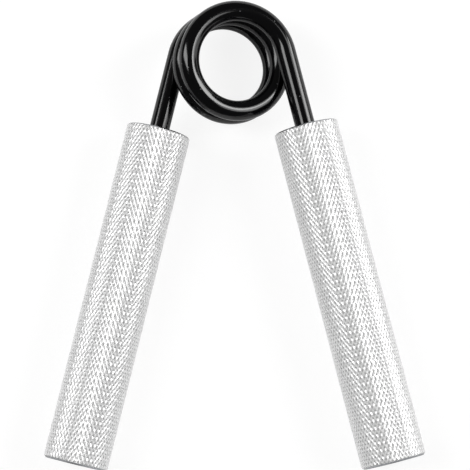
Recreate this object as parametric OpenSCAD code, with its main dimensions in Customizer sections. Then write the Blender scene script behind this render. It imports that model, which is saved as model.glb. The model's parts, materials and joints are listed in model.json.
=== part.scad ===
// Hand grip strengthener: one torsion spring wound from a single round wire, whose two straight
// legs are seated in the bores of two solid metal handles. Squeezing the handles winds the coil.
// Millimetres. The part lies as on a table: +Z up along the axis that the grip closes about, +Y
// from the handles towards the coil, +X to the right handle. The origin is below the middle of
// the part's box, at the height of its lowest point. Half a turn about the line through the
// coil's centre along Y brings the part onto itself, so the left side is the right side turned.

/* [Handles] */
// Diameter of the handles
handle_d = 24; // [20:0.5:32]
// Length of the handles
handle_len = 127; // [100:1:140]
// Chamfer round the handles' far ends
end_chamfer = 0.8; // [0.4:0.1:2]
// Chamfer round the handles' ends at the spring
top_chamfer = 0.5; // [0.3:0.1:2]

/* [Spring] */
// Diameter of the spring wire
wire_d = 7.5; // [5:0.1:9]
// Inner diameter of the coil
coil_inner_d = 29.3; // [26:0.1:40]
// Gap between neighbouring turns
turn_gap = 0.5; // [0.45:0.05:1.5]
// Whole turns of the coil, besides the half turn that leads from leg to leg
whole_turns = 2; // [1:1:4]
// Angle between the two legs at rest, in the plane of the coil
leg_spread = 27; // [18:1:36]
// Length of each leg from the coil to its handle
leg_free = 30; // [25:1:45]

/* [Seats in the handles] */
// Length of each leg inside its handle
leg_seat = 60; // [30:1:80]
// Radial room round the leg in its bore
seat_clearance = 0.02; // [0.01:0.01:0.1]
// Depth of the bore past the leg's end
bore_room = 2; // [0.5:0.5:6]
// Chamfer at the bore's mouth
mouth_chamfer = 0.6; // [0.2:0.1:1.5]
// Chamfer on the leg's hidden end
leg_chamfer = 0.8; // [0.2:0.1:2]

/* [Smoothness] */
// Sides of the coil's tube
tube_sides = 16; // [8:2:24]
// Turn of the coil from one ring of its tube to the next
ring_step = 10; // [6:1:20]

/* [Hidden] */

$fn = 96;
DRILL_POINT = 118;   // angle of the drill's tip, left at the bottom of each bore
MEASURE_STEP = 3;    // degrees between the points on which the gap between turns is measured
CUT = 0.01;          // how far a cut runs past the face that it opens

handle_r = handle_d / 2;
wire_r = wire_d / 2;
coil_r = coil_inner_d / 2 + wire_r;
pitch = wire_d + turn_gap;
bore_r = wire_r + seat_clearance;
bore_depth = leg_seat + bore_room;
drill_tip = bore_r / tan(DRILL_POINT / 2);

// The coil's angle is counted from the middle of the wire, and runs as far to both sides.
// With an odd number of whole turns the middle of the wire lies at the coil's bottom.
half_sweep = (whole_turns * 360 + 180 - leg_spread) / 2;
mid_angle = 180 * (whole_turns % 2);

function unit(v) = v / norm(v);
function about_y(a, v) = [v.x * cos(a) + v.z * sin(a), v.y, v.z * cos(a) - v.x * sin(a)];

// Centreline, direction and outward normal of the wire before the coil is tilted
function straight_point(u) =
    [coil_r * sin(u + mid_angle), coil_r * cos(u + mid_angle), pitch * u / 360];
function straight_tangent(u) =
    unit([coil_r * cos(u + mid_angle), -coil_r * sin(u + mid_angle), pitch / (2 * PI)]);
function straight_normal(u) = [sin(u + mid_angle), cos(u + mid_angle), 0];

// The legs run on straight from the coil's ends. The coil is tilted about Y until the far ends
// of both handles lie at one height, where they meet as the grip closes.
straight_reach = straight_point(half_sweep)
    + (leg_free + handle_len) * straight_tangent(half_sweep);
coil_tilt = atan(straight_reach.z / straight_reach.x);

function wire_point(u) = about_y(coil_tilt, straight_point(u));
function wire_tangent(u) = about_y(coil_tilt, straight_tangent(u));
function wire_normal(u) = about_y(coil_tilt, straight_normal(u));

// Where the right leg leaves the coil, and which way it runs
leg_start = wire_point(half_sweep);
leg_dir = wire_tangent(half_sweep);

// Rings of points round the wire, from the left end of the coil to the right one
ring_gaps = ceil(2 * half_sweep / ring_step);
rings = [for (i = [0 : ring_gaps])
    let (
        u = -half_sweep + 2 * half_sweep * i / ring_gaps,
        out = wire_normal(u),
        side = cross(wire_tangent(u), out)
    )
    [for (k = [0 : tube_sides - 1])
        let (a = 360 * k / tube_sides)
        wire_point(u) + wire_r * (cos(a) * out + sin(a) * side)]];
tube_points = [for (ring = rings) each ring];
last_ring = ring_gaps * tube_sides;
tube_walls = [for (i = [0 : ring_gaps - 1], k = [0 : tube_sides - 1])
    let (
        next_k = (k + 1) % tube_sides,
        a = i * tube_sides + k,
        b = i * tube_sides + next_k,
        c = a + tube_sides,
        d = b + tube_sides
    )
    each [[a, b, d], [a, d, c]]];
tube_ends = [for (k = [1 : tube_sides - 2])
    each [[0, k + 1, k], [last_ring, last_ring + k, last_ring + k + 1]]];

// Least gap of the free wire to itself, measured on points along its centreline
leg_points = [for (s = [MEASURE_STEP : MEASURE_STEP : leg_free])
    leg_start + s * leg_dir];
coil_points = [for (u = [-half_sweep : MEASURE_STEP : half_sweep]) wire_point(u)];
half_turn_steps = floor(180 / MEASURE_STEP);
coil_gap = min([for (i = [0 : len(coil_points) - 1])
    for (j = [i + half_turn_steps : 1 : len(coil_points) - 1])
        norm(coil_points[i] - coil_points[j])]) - wire_d;
leg_gap = min([for (p = leg_points)
    for (j = [0 : 1 : len(coil_points) - half_turn_steps])
        norm(p - coil_points[j])]) - wire_d;
echo(least_gap_between_turns = coil_gap, least_gap_from_leg_to_coil = leg_gap);

// Reach of the part from the coil's centre, which puts the origin below the middle of its box
handle_end = leg_start + (leg_free + handle_len) * leg_dir;
handle_rise = max(abs((leg_start + leg_free * leg_dir).z), abs(handle_end.z))
    + handle_r * norm([leg_dir.x, leg_dir.y]);
lift = max(handle_rise, max([for (p = tube_points) p.z]));
coil_reach = max([for (p = tube_points) p.y]);
handle_reach = (handle_r - end_chamfer) * norm([leg_dir.x, leg_dir.z]) - handle_end.y;
hinge_y = (handle_reach - coil_reach) / 2;

module placed() {
    translate([0, hinge_y, lift]) children();
}

// Stands its children on the right leg: Z runs from the coil along the leg
module on_right_leg() {
    translate(leg_start)
        rotate([0, acos(leg_dir.z), atan2(leg_dir.y, leg_dir.x)])
            children();
}

module on_left_leg() {
    rotate([0, 180, 0]) on_right_leg() children();
}

// A bar turned to its outline, from the end at the spring to the far end, and drilled for the leg
module handle() {
    outline = [
        [0, 0],
        [handle_r - top_chamfer, 0],
        [handle_r, top_chamfer],
        [handle_r, handle_len - end_chamfer],
        [handle_r - end_chamfer, handle_len],
        [0, handle_len]
    ];
    translate([0, 0, leg_free])
        difference() {
            rotate_extrude() polygon(outline);
            translate([0, 0, -CUT]) cylinder(r = bore_r, h = bore_depth + CUT);
            translate([0, 0, bore_depth]) cylinder(r1 = bore_r, r2 = 0, h = drill_tip);
            translate([0, 0, -CUT])
                cylinder(r1 = bore_r + mouth_chamfer + CUT, r2 = bore_r, h = mouth_chamfer + CUT);
        }
}

// The straight end of the wire: its free length and the stretch inside the handle
module spring_leg() {
    leg_len = leg_free + leg_seat;
    rotate_extrude()
        polygon([
            [0, 0],
            [wire_r, 0],
            [wire_r, leg_len - leg_chamfer],
            [wire_r - leg_chamfer, leg_len],
            [0, leg_len]
        ]);
}

module left_handle() {
    color("silver") placed() on_left_leg() handle();
}

module right_handle() {
    color("silver") placed() on_right_leg() handle();
}

module left_spring_leg() {
    color("#1c1c1e") placed() on_left_leg() spring_leg();
}

module right_spring_leg() {
    color("#1c1c1e") placed() on_right_leg() spring_leg();
}

// The wound part of the wire, one unbroken tube between the two legs
module spring_coil() {
    color("#1c1c1e") placed() polyhedron(tube_points, concat(tube_walls, tube_ends));
}

left_handle();
right_handle();
left_spring_leg();
right_spring_leg();
spring_coil();
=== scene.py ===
"""Hand grip strengthener: two knurled aluminium handles on one torsion spring of black round wire.

The part lies flat, with +Y from the handles towards the coil and +Z up along the closing axis.
Everything is in metres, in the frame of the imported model. A handle is modelled upright, with its
spring end at the origin, and the spring with its coil round Z. Both are then seated in the part.
"""
import json
import math

import bmesh
import bpy
import numpy as np
from mathutils import Matrix, Quaternion, Vector


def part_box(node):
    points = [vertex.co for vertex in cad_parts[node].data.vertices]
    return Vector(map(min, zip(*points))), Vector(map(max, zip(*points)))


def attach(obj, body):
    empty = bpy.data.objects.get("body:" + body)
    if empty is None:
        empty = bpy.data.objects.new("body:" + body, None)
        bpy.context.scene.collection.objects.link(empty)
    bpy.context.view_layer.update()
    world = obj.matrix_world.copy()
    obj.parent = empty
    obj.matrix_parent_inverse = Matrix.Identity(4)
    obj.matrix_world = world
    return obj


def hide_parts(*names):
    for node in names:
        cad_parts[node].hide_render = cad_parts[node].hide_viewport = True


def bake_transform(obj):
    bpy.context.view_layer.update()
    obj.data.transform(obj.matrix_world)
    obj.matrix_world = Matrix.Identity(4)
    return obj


MM = 0.001

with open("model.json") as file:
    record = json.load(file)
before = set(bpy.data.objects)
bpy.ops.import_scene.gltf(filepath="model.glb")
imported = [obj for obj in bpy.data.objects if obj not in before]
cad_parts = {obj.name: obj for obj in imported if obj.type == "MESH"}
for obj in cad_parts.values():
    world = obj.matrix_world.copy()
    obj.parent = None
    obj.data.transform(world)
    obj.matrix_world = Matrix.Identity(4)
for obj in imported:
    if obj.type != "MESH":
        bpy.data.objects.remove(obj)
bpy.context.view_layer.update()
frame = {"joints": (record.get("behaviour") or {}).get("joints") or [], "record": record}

MOUNTS = {mount["name"]: mount for mount in frame["record"]["mounts"]}
COIL_CENTRE = Vector(frame["joints"][0]["pos_m"])
HAIR = 0.02 * MM             # taken off where a piece would otherwise pass its solid's box

# Handles: turned bars with a diamond knurl
HANDLE_R = MOUNTS["right_handle_grip"]["dims"]["r_mm"] * MM
HANDLE_LEN = 127 * MM
TOP_CHAMFER = 0.5 * MM
END_CHAMFER = 0.8 * MM + HAIR
DIAMONDS_ROUND = 50
DIAMOND_LEN = 2.73 * MM
WALL_STEPS = (               # width and depth of a pit's wall, from its rim to its bottom
    (0.17 * MM, 0.055 * MM),
    (0.24 * MM, 0.104 * MM),
    (0.23 * MM, 0.098 * MM))
PIT_DEPTH = sum(depth for _, depth in WALL_STEPS)
BLANK_OVERSIZE = 1 * MM      # how far the turned blank stands out past the knurl
BLANK_SIDES = 96
BAR_PLACE = "along_bar"      # each handle point's place on its own upright bar

# Spring: one round wire, wound and then straight along both handles
WIRE_D = 7.5 * MM
WIRE_R = (WIRE_D - HAIR) / 2
COIL_INNER_D = 29.3 * MM
COIL_R = (COIL_INNER_D + WIRE_D) / 2
TURN_GAP = 0.5 * MM
PITCH = WIRE_D + TURN_GAP
WHOLE_TURNS = 2
LEG_SPREAD = math.radians(27)
HALF_SWEEP = (WHOLE_TURNS * math.tau + math.pi - LEG_SPREAD) / 2
LEG_FREE = 30 * MM
LEG_SEAT = 60 * MM
LEG_CHAMFER = 0.8 * MM
WIRE_SIDES = 48
RING_TURN = math.radians(4)  # of the coil, from one ring of its tube to the next
LEG_RINGS = 12               # along the free length of each leg

# Bores that the legs sit in, with room round each leg and past its tip
SEAT_ROOM = 0.02 * MM
BORE_ROOM = 2 * MM
BORE_R = WIRE_R + SEAT_ROOM
BORE_DEPTH = LEG_SEAT + BORE_ROOM
MOUTH_CHAMFER = 0.6 * MM
DRILL_POINT = math.radians(118)
DRILL_TIP_R = 0.01 * MM      # where the cone at the bottom ends, all but in a point

# Edges that turn by more than this stay sharp: on a handle, the crests between the pits
HANDLE_SHARP = math.radians(28)
WIRE_SHARP = math.radians(30)
TOUCHING = 0.001 * MM        # points and heights this close together are one
NO_LENGTH = 0.1 * TOUCHING   # edges shorter than this are stubs, left where a cut meets a corner

# Studio
FLOOR_SIZE = 6
FLOOR_GAP = 0.1 * MM         # keeps the floor from lying in the part's lowest faces
LAMP_DISTANCE = 1.8
SENSOR = 36                  # camera back and focal length, as cameras have them, in millimetres
FOCAL_LENGTH = 154.98
CAMERA_PLACE = (30.07 * MM, -81.49 * MM, 758.34 * MM)
CAMERA_TURN = (6.263, 2.251, -0.387)     # degrees about X, Y and Z, turned in the order Z, X, Y


# ---------------------------------------------------------------- modelling by hand

def start_clean():
    """Leaves edit mode and deselects everything."""
    if bpy.context.object and bpy.context.object.mode != "OBJECT":
        bpy.ops.object.mode_set(mode="OBJECT")
    bpy.ops.object.select_all(action="DESELECT")


def only(obj):
    """Makes obj the one selected and active object."""
    start_clean()
    obj.select_set(True)
    bpy.context.view_layer.objects.active = obj


def pick(obj, kind, test):
    """In edit mode, selects the faces or edges of obj that pass the test and no others."""
    bpy.ops.mesh.select_mode(type={"faces": "FACE", "edges": "EDGE"}[kind])
    bpy.ops.mesh.select_all(action="DESELECT")
    mesh = bmesh.from_edit_mesh(obj.data)
    for part in getattr(mesh, kind):
        if test(part):
            part.select_set(True)
    mesh.select_flush_mode()
    bmesh.update_edit_mesh(obj.data)


def extrude(way):
    """Draws out what is picked, by the vector way."""
    bpy.ops.mesh.extrude_region_move(TRANSFORM_OT_translate={"value": way})


def apply_modifier(obj, kind, **settings):
    """Adds a modifier with its settings and applies it to obj's mesh."""
    only(obj)
    modifier = obj.modifiers.new(kind.lower(), kind)
    for name, value in settings.items():
        setattr(modifier, name, value)
    bpy.ops.object.modifier_apply(modifier=modifier.name)


def seat_mesh(obj, place):
    """Moves obj into its place and leaves that place in its mesh."""
    only(obj)
    obj.matrix_world = place
    bpy.ops.object.transform_apply(location=True, rotation=True, scale=True)


# ---------------------------------------------------------------- handles

def upright_cylinder(sides, radius, length):
    """A cylinder round Z, centred on the middle of the handle and left in edit mode."""
    start_clean()
    bpy.ops.mesh.primitive_cylinder_add(
        vertices=sides, radius=radius, depth=length, location=(0, 0, HANDLE_LEN / 2))
    cylinder = bpy.context.object
    bpy.ops.object.transform_apply(location=True)
    bpy.ops.object.mode_set(mode="EDIT")
    return cylinder


def turned_blank():
    """The bar's turned outline: chamfered ends and the drilled bore, wider than the knurl between."""
    blank = upright_cylinder(BLANK_SIDES, HANDLE_R + BLANK_OVERSIZE, HANDLE_LEN)
    for height, chamfer in ((0, TOP_CHAMFER), (HANDLE_LEN, END_CHAMFER)):
        pick(blank, "edges", lambda edge: all(
            abs(vert.co.z - height) < TOUCHING for vert in edge.verts))
        bpy.ops.mesh.bevel(offset=BLANK_OVERSIZE + chamfer, segments=1)

    # The bore goes in at the spring's end: its mouth, its wall and the cone that the drill leaves
    pick(blank, "faces", lambda face: face.normal.z < -0.9)
    bpy.ops.mesh.inset(thickness=HANDLE_R - TOP_CHAMFER - BORE_R - MOUTH_CHAMFER)
    for depth, narrowing in (
            (MOUTH_CHAMFER, BORE_R / (BORE_R + MOUTH_CHAMFER)),
            (BORE_DEPTH - MOUTH_CHAMFER, 1),
            (BORE_R / math.tan(DRILL_POINT / 2), DRILL_TIP_R / BORE_R)):
        extrude((0, 0, depth))
        bpy.ops.transform.resize(value=(narrowing, narrowing, 1), center_override=(0, 0, 0))
    bpy.ops.object.mode_set(mode="OBJECT")
    return blank


def rise(edge):
    """How far an edge climbs along the bar."""
    return abs(edge.verts[0].co.z - edge.verts[1].co.z)


def on_side(face):
    """Whether a face belongs to the bar's round side and not to its ends."""
    return abs(face.normal.z) < 0.5


def knurled_bar():
    """A bar with diamond pits between crossing ridges, longer than the handle at both ends."""
    rows = math.ceil(HANDLE_LEN / DIAMOND_LEN) + 2
    bar_len = rows * DIAMOND_LEN
    bar = upright_cylinder(DIAMONDS_ROUND, HANDLE_R, bar_len)

    # The round side is cut into rows of rectangles, and each one is divided from its middle
    pick(bar, "edges", lambda edge: rise(edge) > bar_len / 2)
    bpy.ops.mesh.subdivide(number_cuts=rows - 1)
    pick(bar, "faces", on_side)
    bpy.ops.mesh.poke()

    # Only the slanted edges stay, besides the bar's own rims: they climb by half a diamond, and
    # they are the crests of the two families of ridges
    def between_diamonds(edge):
        slanted = 0.25 * DIAMOND_LEN < rise(edge) < 0.75 * DIAMOND_LEN
        from_middle = abs(edge.verts[0].co.z - HANDLE_LEN / 2)
        rim = rise(edge) < TOUCHING and abs(from_middle - bar_len / 2) < TOUCHING
        return not slanted and not rim

    pick(bar, "edges", between_diamonds)
    bpy.ops.mesh.dissolve_edges(use_verts=False)
    pick(bar, "faces", on_side)
    for width, drop in WALL_STEPS:
        bpy.ops.mesh.inset(thickness=width, depth=-drop, use_individual=True)
    bpy.ops.object.mode_set(mode="OBJECT")
    return bar


def keep_bar_places(obj):
    """Stores where each vertex lies on the upright bar, for patterns that follow its axis."""
    places = np.zeros(len(obj.data.vertices) * 3, np.float32)
    obj.data.vertices.foreach_get("co", places)
    attribute = obj.data.attributes.new(BAR_PLACE, "FLOAT_VECTOR", "POINT")
    attribute.data.foreach_set("vector", places)


def upright_handle(knurl, turned):
    """The knurled bar cut to its turned outline, with its bore at the origin."""
    handle = knurled_bar()
    handle.data.materials.append(knurl)
    blank = turned_blank()
    blank.data.materials.append(turned)
    apply_modifier(
        handle, "BOOLEAN", operation="INTERSECT", object=blank, solver="EXACT",
        material_mode="TRANSFER")
    bpy.data.objects.remove(blank)
    only(handle)
    bpy.ops.object.mode_set(mode="EDIT")
    pick(handle, "edges", lambda edge: edge.calc_length() < NO_LENGTH)
    bpy.ops.mesh.remove_doubles(threshold=TOUCHING)
    bpy.ops.object.mode_set(mode="OBJECT")
    bpy.ops.object.shade_smooth_by_angle(angle=HANDLE_SHARP)
    keep_bar_places(handle)
    return handle


def handle_piece(side, handle):
    """A copy of the upright handle, seated on its own leg of the spring."""
    piece = handle.copy()
    piece.data = handle.data.copy()
    piece.name = side + "_knurled_handle"
    bpy.context.collection.objects.link(piece)
    axis = Vector(MOUNTS[side + "_handle_grip"]["axis"])
    far_end = Vector(MOUNTS[side + "_handle_end"]["pos_m"])
    turn = axis.to_track_quat("Z", "X").to_matrix().to_4x4()
    seat_mesh(piece, Matrix.Translation(far_end - HANDLE_LEN * axis) @ turn)
    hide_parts(side + "_handle")
    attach(piece, side + "_side")


# ---------------------------------------------------------------- spring

def wire_point(angle):
    """A point on the wire's centre line, with angles counted from the middle of the wire."""
    return Vector((COIL_R * math.sin(angle), COIL_R * math.cos(angle), PITCH * angle / math.tau))


def wire_direction(angle):
    """Which way the wire runs at such a point, towards the right leg."""
    return Vector((COIL_R * math.cos(angle), -COIL_R * math.sin(angle),
                   PITCH / math.tau)).normalized()


def coil_tilt():
    """The lean of the coil that brings the far ends of both handles to one height."""
    reach = wire_point(HALF_SWEEP) + (LEG_FREE + HANDLE_LEN) * wire_direction(HALF_SWEEP)
    return math.atan(reach.z / reach.x)


def straight_leg(wire, end, way):
    """Draws the wire's open end out along its handle, chamfers the hidden tip and closes it."""
    pick(wire, "edges", lambda edge: edge.is_boundary and all(
        (vert.co - end).length < WIRE_D for vert in edge.verts))
    for length in [LEG_FREE / LEG_RINGS] * LEG_RINGS + [LEG_SEAT - LEG_CHAMFER, LEG_CHAMFER]:
        extrude(way * length)
    tip = end + way * (LEG_FREE + LEG_SEAT)
    share = (WIRE_R - LEG_CHAMFER) / WIRE_R
    bpy.ops.transform.resize(value=(share, share, share), center_override=tip)
    bpy.ops.mesh.edge_face_add()


def wound_wire():
    """A circle wound down round Z from the right leg's start to the left leg's, and both legs."""
    start, direction = wire_point(HALF_SWEEP), wire_direction(HALF_SWEEP)
    start_clean()
    bpy.ops.mesh.primitive_circle_add(
        vertices=WIRE_SIDES, radius=WIRE_R, location=start,
        rotation=direction.to_track_quat("Z", "Y").to_euler())
    wire = bpy.context.object
    bpy.ops.object.transform_apply(location=True, rotation=True)
    turns = 2 * HALF_SWEEP / math.tau
    steps = round(2 * HALF_SWEEP / RING_TURN)
    apply_modifier(
        wire, "SCREW", axis="Z", angle=2 * HALF_SWEEP, screw_offset=-turns * PITCH,
        steps=steps, render_steps=steps)
    bpy.ops.object.mode_set(mode="EDIT")
    straight_leg(wire, start, direction)
    straight_leg(wire, wire_point(-HALF_SWEEP), -wire_direction(-HALF_SWEEP))
    bpy.ops.mesh.select_all(action="SELECT")
    bpy.ops.mesh.remove_doubles(threshold=10 * TOUCHING)
    bpy.ops.mesh.normals_make_consistent(inside=False)
    bpy.ops.object.mode_set(mode="OBJECT")
    bpy.ops.object.shade_smooth_by_angle(angle=WIRE_SHARP)
    return wire


def spring_piece(coating):
    """The wire leant into its place.
    """
    wire = wound_wire()
    wire.name = "spring_wire"
    wire.data.materials.append(coating)
    lean = Matrix.Rotation(coil_tilt(), 4, "Y")
    seat_mesh(wire, Matrix.Translation(COIL_CENTRE) @ lean)
    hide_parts("spring_coil", "left_spring_leg", "right_spring_leg")
    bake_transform(wire)


# ---------------------------------------------------------------- materials

def linear(hex_colour):
    """An sRGB hex colour as the linear RGBA that sockets take."""
    channels = (int(hex_colour[i:i + 2], 16) / 255 for i in (1, 3, 5))
    return [c / 12.92 if c <= 0.04045 else ((c + 0.055) / 1.055) ** 2.4 for c in channels] + [1]


def add_node(tree, kind, settings=(), links=()):
    """Adds a node with its settings, by property or input, and with links into its inputs."""
    added = tree.nodes.new(kind)
    for name, value in dict(settings).items():
        if isinstance(name, int) or name in added.inputs:
            added.inputs[name].default_value = value
        else:
            setattr(added, name, value)
    for name, output in dict(links).items():
        tree.links.new(output, added.inputs[name])
    return added


def new_material(name):
    """An empty node material and its tree."""
    material = bpy.data.materials.new(name)
    material.use_nodes = True
    material.node_tree.nodes.clear()
    return material, material.node_tree


def own_radius(tree, own):
    """Distance of a point on a handle from the handle's axis, in metres."""
    across = add_node(tree, "ShaderNodeVectorMath", {"operation": "MULTIPLY", 1: (1, 1, 0)}, {
        0: own.outputs["Vector"]})
    return add_node(tree, "ShaderNodeVectorMath", {"operation": "LENGTH"}, {
        0: across.outputs[0]}).outputs["Value"]


def knurled_aluminium():
    """Bright aluminium bar, rolled with a diamond knurl.

    It is a pale silver that sparkles in rows: each pit's walls take the light in turn, so bright
    and grey streaks of small diamonds run along the bar.
    """
    material, tree = new_material("knurled_bright_aluminium")
    own = add_node(tree, "ShaderNodeAttribute", {"attribute_name": BAR_PLACE})

    # The pits of the knurl are darker towards their bottoms, from just below the crests: painted
    # shade, where the pit walls shade each other
    unshaded_rim = 0.05 * MM
    depth = add_node(tree, "ShaderNodeMapRange", {
        "From Min": HANDLE_R - PIT_DEPTH, "From Max": HANDLE_R - unshaded_rim,
        "To Min": 0.46, "To Max": 1.0}, {"Value": own_radius(tree, own)})

    # Handling leaves the metal brighter in some places than in others, some millimetres apart
    wear = add_node(tree, "ShaderNodeTexNoise", {"Scale": 1 / (4 * MM), "Detail": 2.0}, {
        "Vector": own.outputs["Vector"]})
    brightness = add_node(tree, "ShaderNodeMapRange", {
        "From Min": 0.3, "From Max": 0.7, "To Min": 0.94, "To Max": 1.0}, {
        "Value": wear.outputs[0]})
    shade = add_node(tree, "ShaderNodeMath", {"operation": "MULTIPLY"}, {
        0: depth.outputs[0], 1: brightness.outputs[0]})
    colour = add_node(tree, "ShaderNodeVectorMath", {
        "operation": "SCALE", 0: linear("#f7f7f7")[:3]}, {"Scale": shade.outputs[0]})

    # The rolled metal is satin: its fine grain, a tenth of a millimetre, spreads each highlight.
    # It is drawn at 0.4 mm, the finest that shows
    grain = add_node(tree, "ShaderNodeTexNoise", {"Scale": 1 / (0.4 * MM), "Detail": 1.0}, {
        "Vector": own.outputs["Vector"]})
    roughness = add_node(tree, "ShaderNodeMapRange", {"To Min": 0.22, "To Max": 0.34}, {
        "Value": grain.outputs[0]})

    # The pale film of oxide on the metal scatters the greater share of the light evenly
    shader = add_node(tree, "ShaderNodeBsdfPrincipled", {"Metallic": 0.28}, {
        "Base Color": colour.outputs[0], "Roughness": roughness.outputs[0]})
    add_node(tree, "ShaderNodeOutputMaterial", links={"Surface": shader.outputs[0]})
    return material


def turned_aluminium():
    """Bright aluminium as the lathe left it, on the faced ends, the chamfers and the bore.

    It is a plain grey mirror, dark or light with what it faces.
    """
    material, tree = new_material("turned_bright_aluminium")
    own = add_node(tree, "ShaderNodeAttribute", {"attribute_name": BAR_PLACE})

    # The tool's feed leaves rings 0.15 mm apart: shallow grooves that catch the light in turn.
    # They are drawn 0.9 mm apart, because finer ones don't show
    rings = add_node(tree, "ShaderNodeMath", {
        "operation": "MULTIPLY", 1: math.tau / (0.9 * MM)}, {0: own_radius(tree, own)})
    wave = add_node(tree, "ShaderNodeMath", {"operation": "SINE"}, {0: rings.outputs[0]})
    bump = add_node(tree, "ShaderNodeBump", {"Strength": 0.25, "Distance": 0.03 * MM}, {
        "Height": wave.outputs[0]})
    # The grey base colour, darker than bare aluminium, is painted shade for the dark band at the
    # handles' ends
    shader = add_node(tree, "ShaderNodeBsdfPrincipled", {
        "Base Color": linear("#9a9c9f"), "Metallic": 1.0, "Roughness": 0.16}, {
        "Normal": bump.outputs[0]})
    add_node(tree, "ShaderNodeOutputMaterial", links={"Surface": shader.outputs[0]})
    return material


def black_spring_steel():
    """Spring steel under a thin gloss black coating: a deep black with narrow, bright highlights."""
    material, tree = new_material("gloss_black_coated_spring_steel")
    place = add_node(tree, "ShaderNodeTexCoord")

    # The coating has flowed a little unevenly: soft waves about 3 mm long, which make its
    # highlights waver
    flow = add_node(tree, "ShaderNodeTexNoise", {"Scale": 1 / (3 * MM), "Detail": 1.0}, {
        "Vector": place.outputs["Object"]})
    bump = add_node(tree, "ShaderNodeBump", {"Strength": 0.3, "Distance": 0.02 * MM}, {
        "Height": flow.outputs[0]})

    # Lint and dust sit on it here and there as dull specks about half a millimetre across. The
    # pattern is moved so that a few of them lie on the right leg and the top of the coil
    moved = add_node(tree, "ShaderNodeVectorMath", {
        "operation": "ADD", 1: (7 * MM, 3 * MM, 0)}, {0: place.outputs["Object"]})
    dust = add_node(tree, "ShaderNodeTexVoronoi", {"Scale": 1 / (4 * MM), "Randomness": 1.0}, {
        "Vector": moved.outputs[0]})
    speck = add_node(tree, "ShaderNodeMapRange", {
        "From Min": 0.04, "From Max": 0.075, "To Min": 1.0, "To Max": 0.0}, {
        "Value": dust.outputs["Distance"]})
    # A Mix node keeps its two colours in inputs 6 and 7, and mixes them into output 2
    colour = add_node(tree, "ShaderNodeMix", {
        "data_type": "RGBA", 6: linear("#030304"), 7: linear("#5a5a5c")}, {0: speck.outputs[0]})
    roughness = add_node(tree, "ShaderNodeMapRange", {"To Min": 0.12, "To Max": 0.6}, {
        "Value": speck.outputs[0]})
    shader = add_node(tree, "ShaderNodeBsdfPrincipled", {"IOR": 1.5}, {
        "Base Color": colour.outputs[2], "Roughness": roughness.outputs[0],
        "Normal": bump.outputs[0]})
    add_node(tree, "ShaderNodeOutputMaterial", links={"Surface": shader.outputs[0]})
    return material


# ---------------------------------------------------------------- studio

def pale_to_the_eye(tree, lit, white, camera_share, gloss_share):
    """Mixes a lit surface with plain white: for the camera, and a little for gloss and glass."""
    path = add_node(tree, "ShaderNodeLightPath")
    gloss_or_glass = add_node(tree, "ShaderNodeMath", {"operation": "MAXIMUM"}, {
        0: path.outputs["Is Glossy Ray"], 1: path.outputs["Is Transmission Ray"]})
    dimmed = add_node(tree, "ShaderNodeMath", {"operation": "MULTIPLY", 1: gloss_share}, {
        0: gloss_or_glass.outputs[0]})
    camera = add_node(tree, "ShaderNodeMath", {"operation": "MULTIPLY", 1: camera_share}, {
        0: path.outputs["Is Camera Ray"]})
    share = add_node(tree, "ShaderNodeMath", {"operation": "MAXIMUM"}, {
        0: camera.outputs[0], 1: dimmed.outputs[0]})
    return add_node(tree, "ShaderNodeMixShader", links={
        0: share.outputs[0], 1: lit.outputs[0], 2: white.outputs[0]})


def studio_floor():
    """A pale table top under the points on which the part rests, the coil and both far ends."""
    low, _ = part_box("spring_coil")
    _, end_y, end_z = MOUNTS["right_handle_end"]["pos_m"]
    slope = math.atan2(low.z - (end_z - HANDLE_R), COIL_CENTRE.y - end_y)
    start_clean()
    bpy.ops.mesh.primitive_plane_add(
        size=FLOOR_SIZE, location=(0, COIL_CENTRE.y, low.z - FLOOR_GAP), rotation=(slope, 0, 0))
    floor = bpy.context.object
    floor.name = "studio_floor"
    material, tree = new_material("pale_table_top")
    lit = add_node(tree, "ShaderNodeBsdfDiffuse", {"Color": linear("#f4f4f4")})
    # The white is a little over 1, so that only the part's own shadow shows as grey
    white = add_node(tree, "ShaderNodeEmission", {"Color": linear("#ffffff"), "Strength": 1.08})
    mixed = pale_to_the_eye(tree, lit, white, camera_share=0.8, gloss_share=0.2)
    add_node(tree, "ShaderNodeOutputMaterial", links={"Surface": mixed.outputs[0]})
    floor.data.materials.append(material)


def studio_world():
    """A dim room round the table, which is white where the camera looks into it."""
    world = bpy.data.worlds.new("studio")
    bpy.context.scene.world = world
    world.use_nodes = True
    tree = world.node_tree
    tree.nodes.clear()
    dim = add_node(tree, "ShaderNodeBackground", {"Color": linear("#ffffff"), "Strength": 0.07})
    white = add_node(tree, "ShaderNodeBackground", {"Color": linear("#ffffff"), "Strength": 1.0})
    mixed = pale_to_the_eye(tree, dim, white, camera_share=1, gloss_share=0.01)
    add_node(tree, "ShaderNodeOutputWorld", links={"Surface": mixed.outputs[0]})


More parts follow.
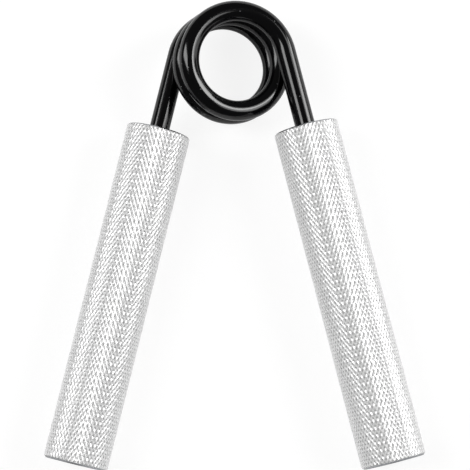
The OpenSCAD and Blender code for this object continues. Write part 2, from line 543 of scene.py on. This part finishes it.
def softbox(name, across, along, roll, size, brightness, in_gloss=True):
    """A rectangular lamp that faces the part.

    It stands off overhead by so many degrees across, towards +X, and along, towards +Y, and is
    rolled about its own middle. Its power follows its size, so that its face is as bright as
    asked. Out of the gloss, it lights the part and leaves no streak in the black coating.
    """
    width, length = size
    data = bpy.data.lights.new(name, "AREA")
    data.shape = "RECTANGLE"
    data.size = width
    data.size_y = length
    data.energy = brightness * width * length * math.pi
    lamp = bpy.data.objects.new(name, data)
    bpy.context.collection.objects.link(lamp)
    across, along = math.radians(across), math.radians(along)
    way = Vector((math.sin(across) * math.cos(along), math.sin(along),
                  math.cos(across) * math.cos(along)))
    spin = Quaternion((0, 0, 1), math.radians(roll))
    lamp.location = way * LAMP_DISTANCE
    lamp.visible_glossy = in_gloss
    lamp.rotation_mode = "QUATERNION"
    lamp.rotation_quaternion = way.to_track_quat("Z", "Y") @ spin


def studio_camera():
    """Above the part and a little towards the handles, with a long lens."""
    data = bpy.data.cameras.new("camera")
    data.sensor_width = SENSOR
    data.lens = FOCAL_LENGTH
    camera = bpy.data.objects.new("camera", data)
    bpy.context.collection.objects.link(camera)
    camera.rotation_mode = "ZXY"
    camera.location = CAMERA_PLACE
    camera.rotation_euler = [math.radians(turn) for turn in CAMERA_TURN]
    bpy.context.scene.camera = camera


# ---------------------------------------------------------------- the part and its studio

handle = upright_handle(knurled_aluminium(), turned_aluminium())
for side in ("left", "right"):
    handle_piece(side, handle)
bpy.data.objects.remove(handle)
spring_piece(black_spring_steel())

studio_floor()
studio_world()
softbox("right_strip_box", across=56.5, along=16.7, roll=22.1, size=(0.339, 1.451), brightness=7.8)
softbox("right_fill_box", across=49.9, along=5.0, roll=-10.6, size=(1.319, 0.72), brightness=3.2)
softbox("left_box", across=-37.3, along=8.5, roll=73.8, size=(1.46, 0.542), brightness=6.2)
softbox("right_low_box", across=76, along=0, roll=0, size=(0.5, 2.2), brightness=1.6)
softbox("left_low_box", across=-64, along=0, roll=0, size=(0.7, 2.2), brightness=2.4, in_gloss=False)
studio_camera()
bpy.context.scene.view_settings.view_transform = "Standard"
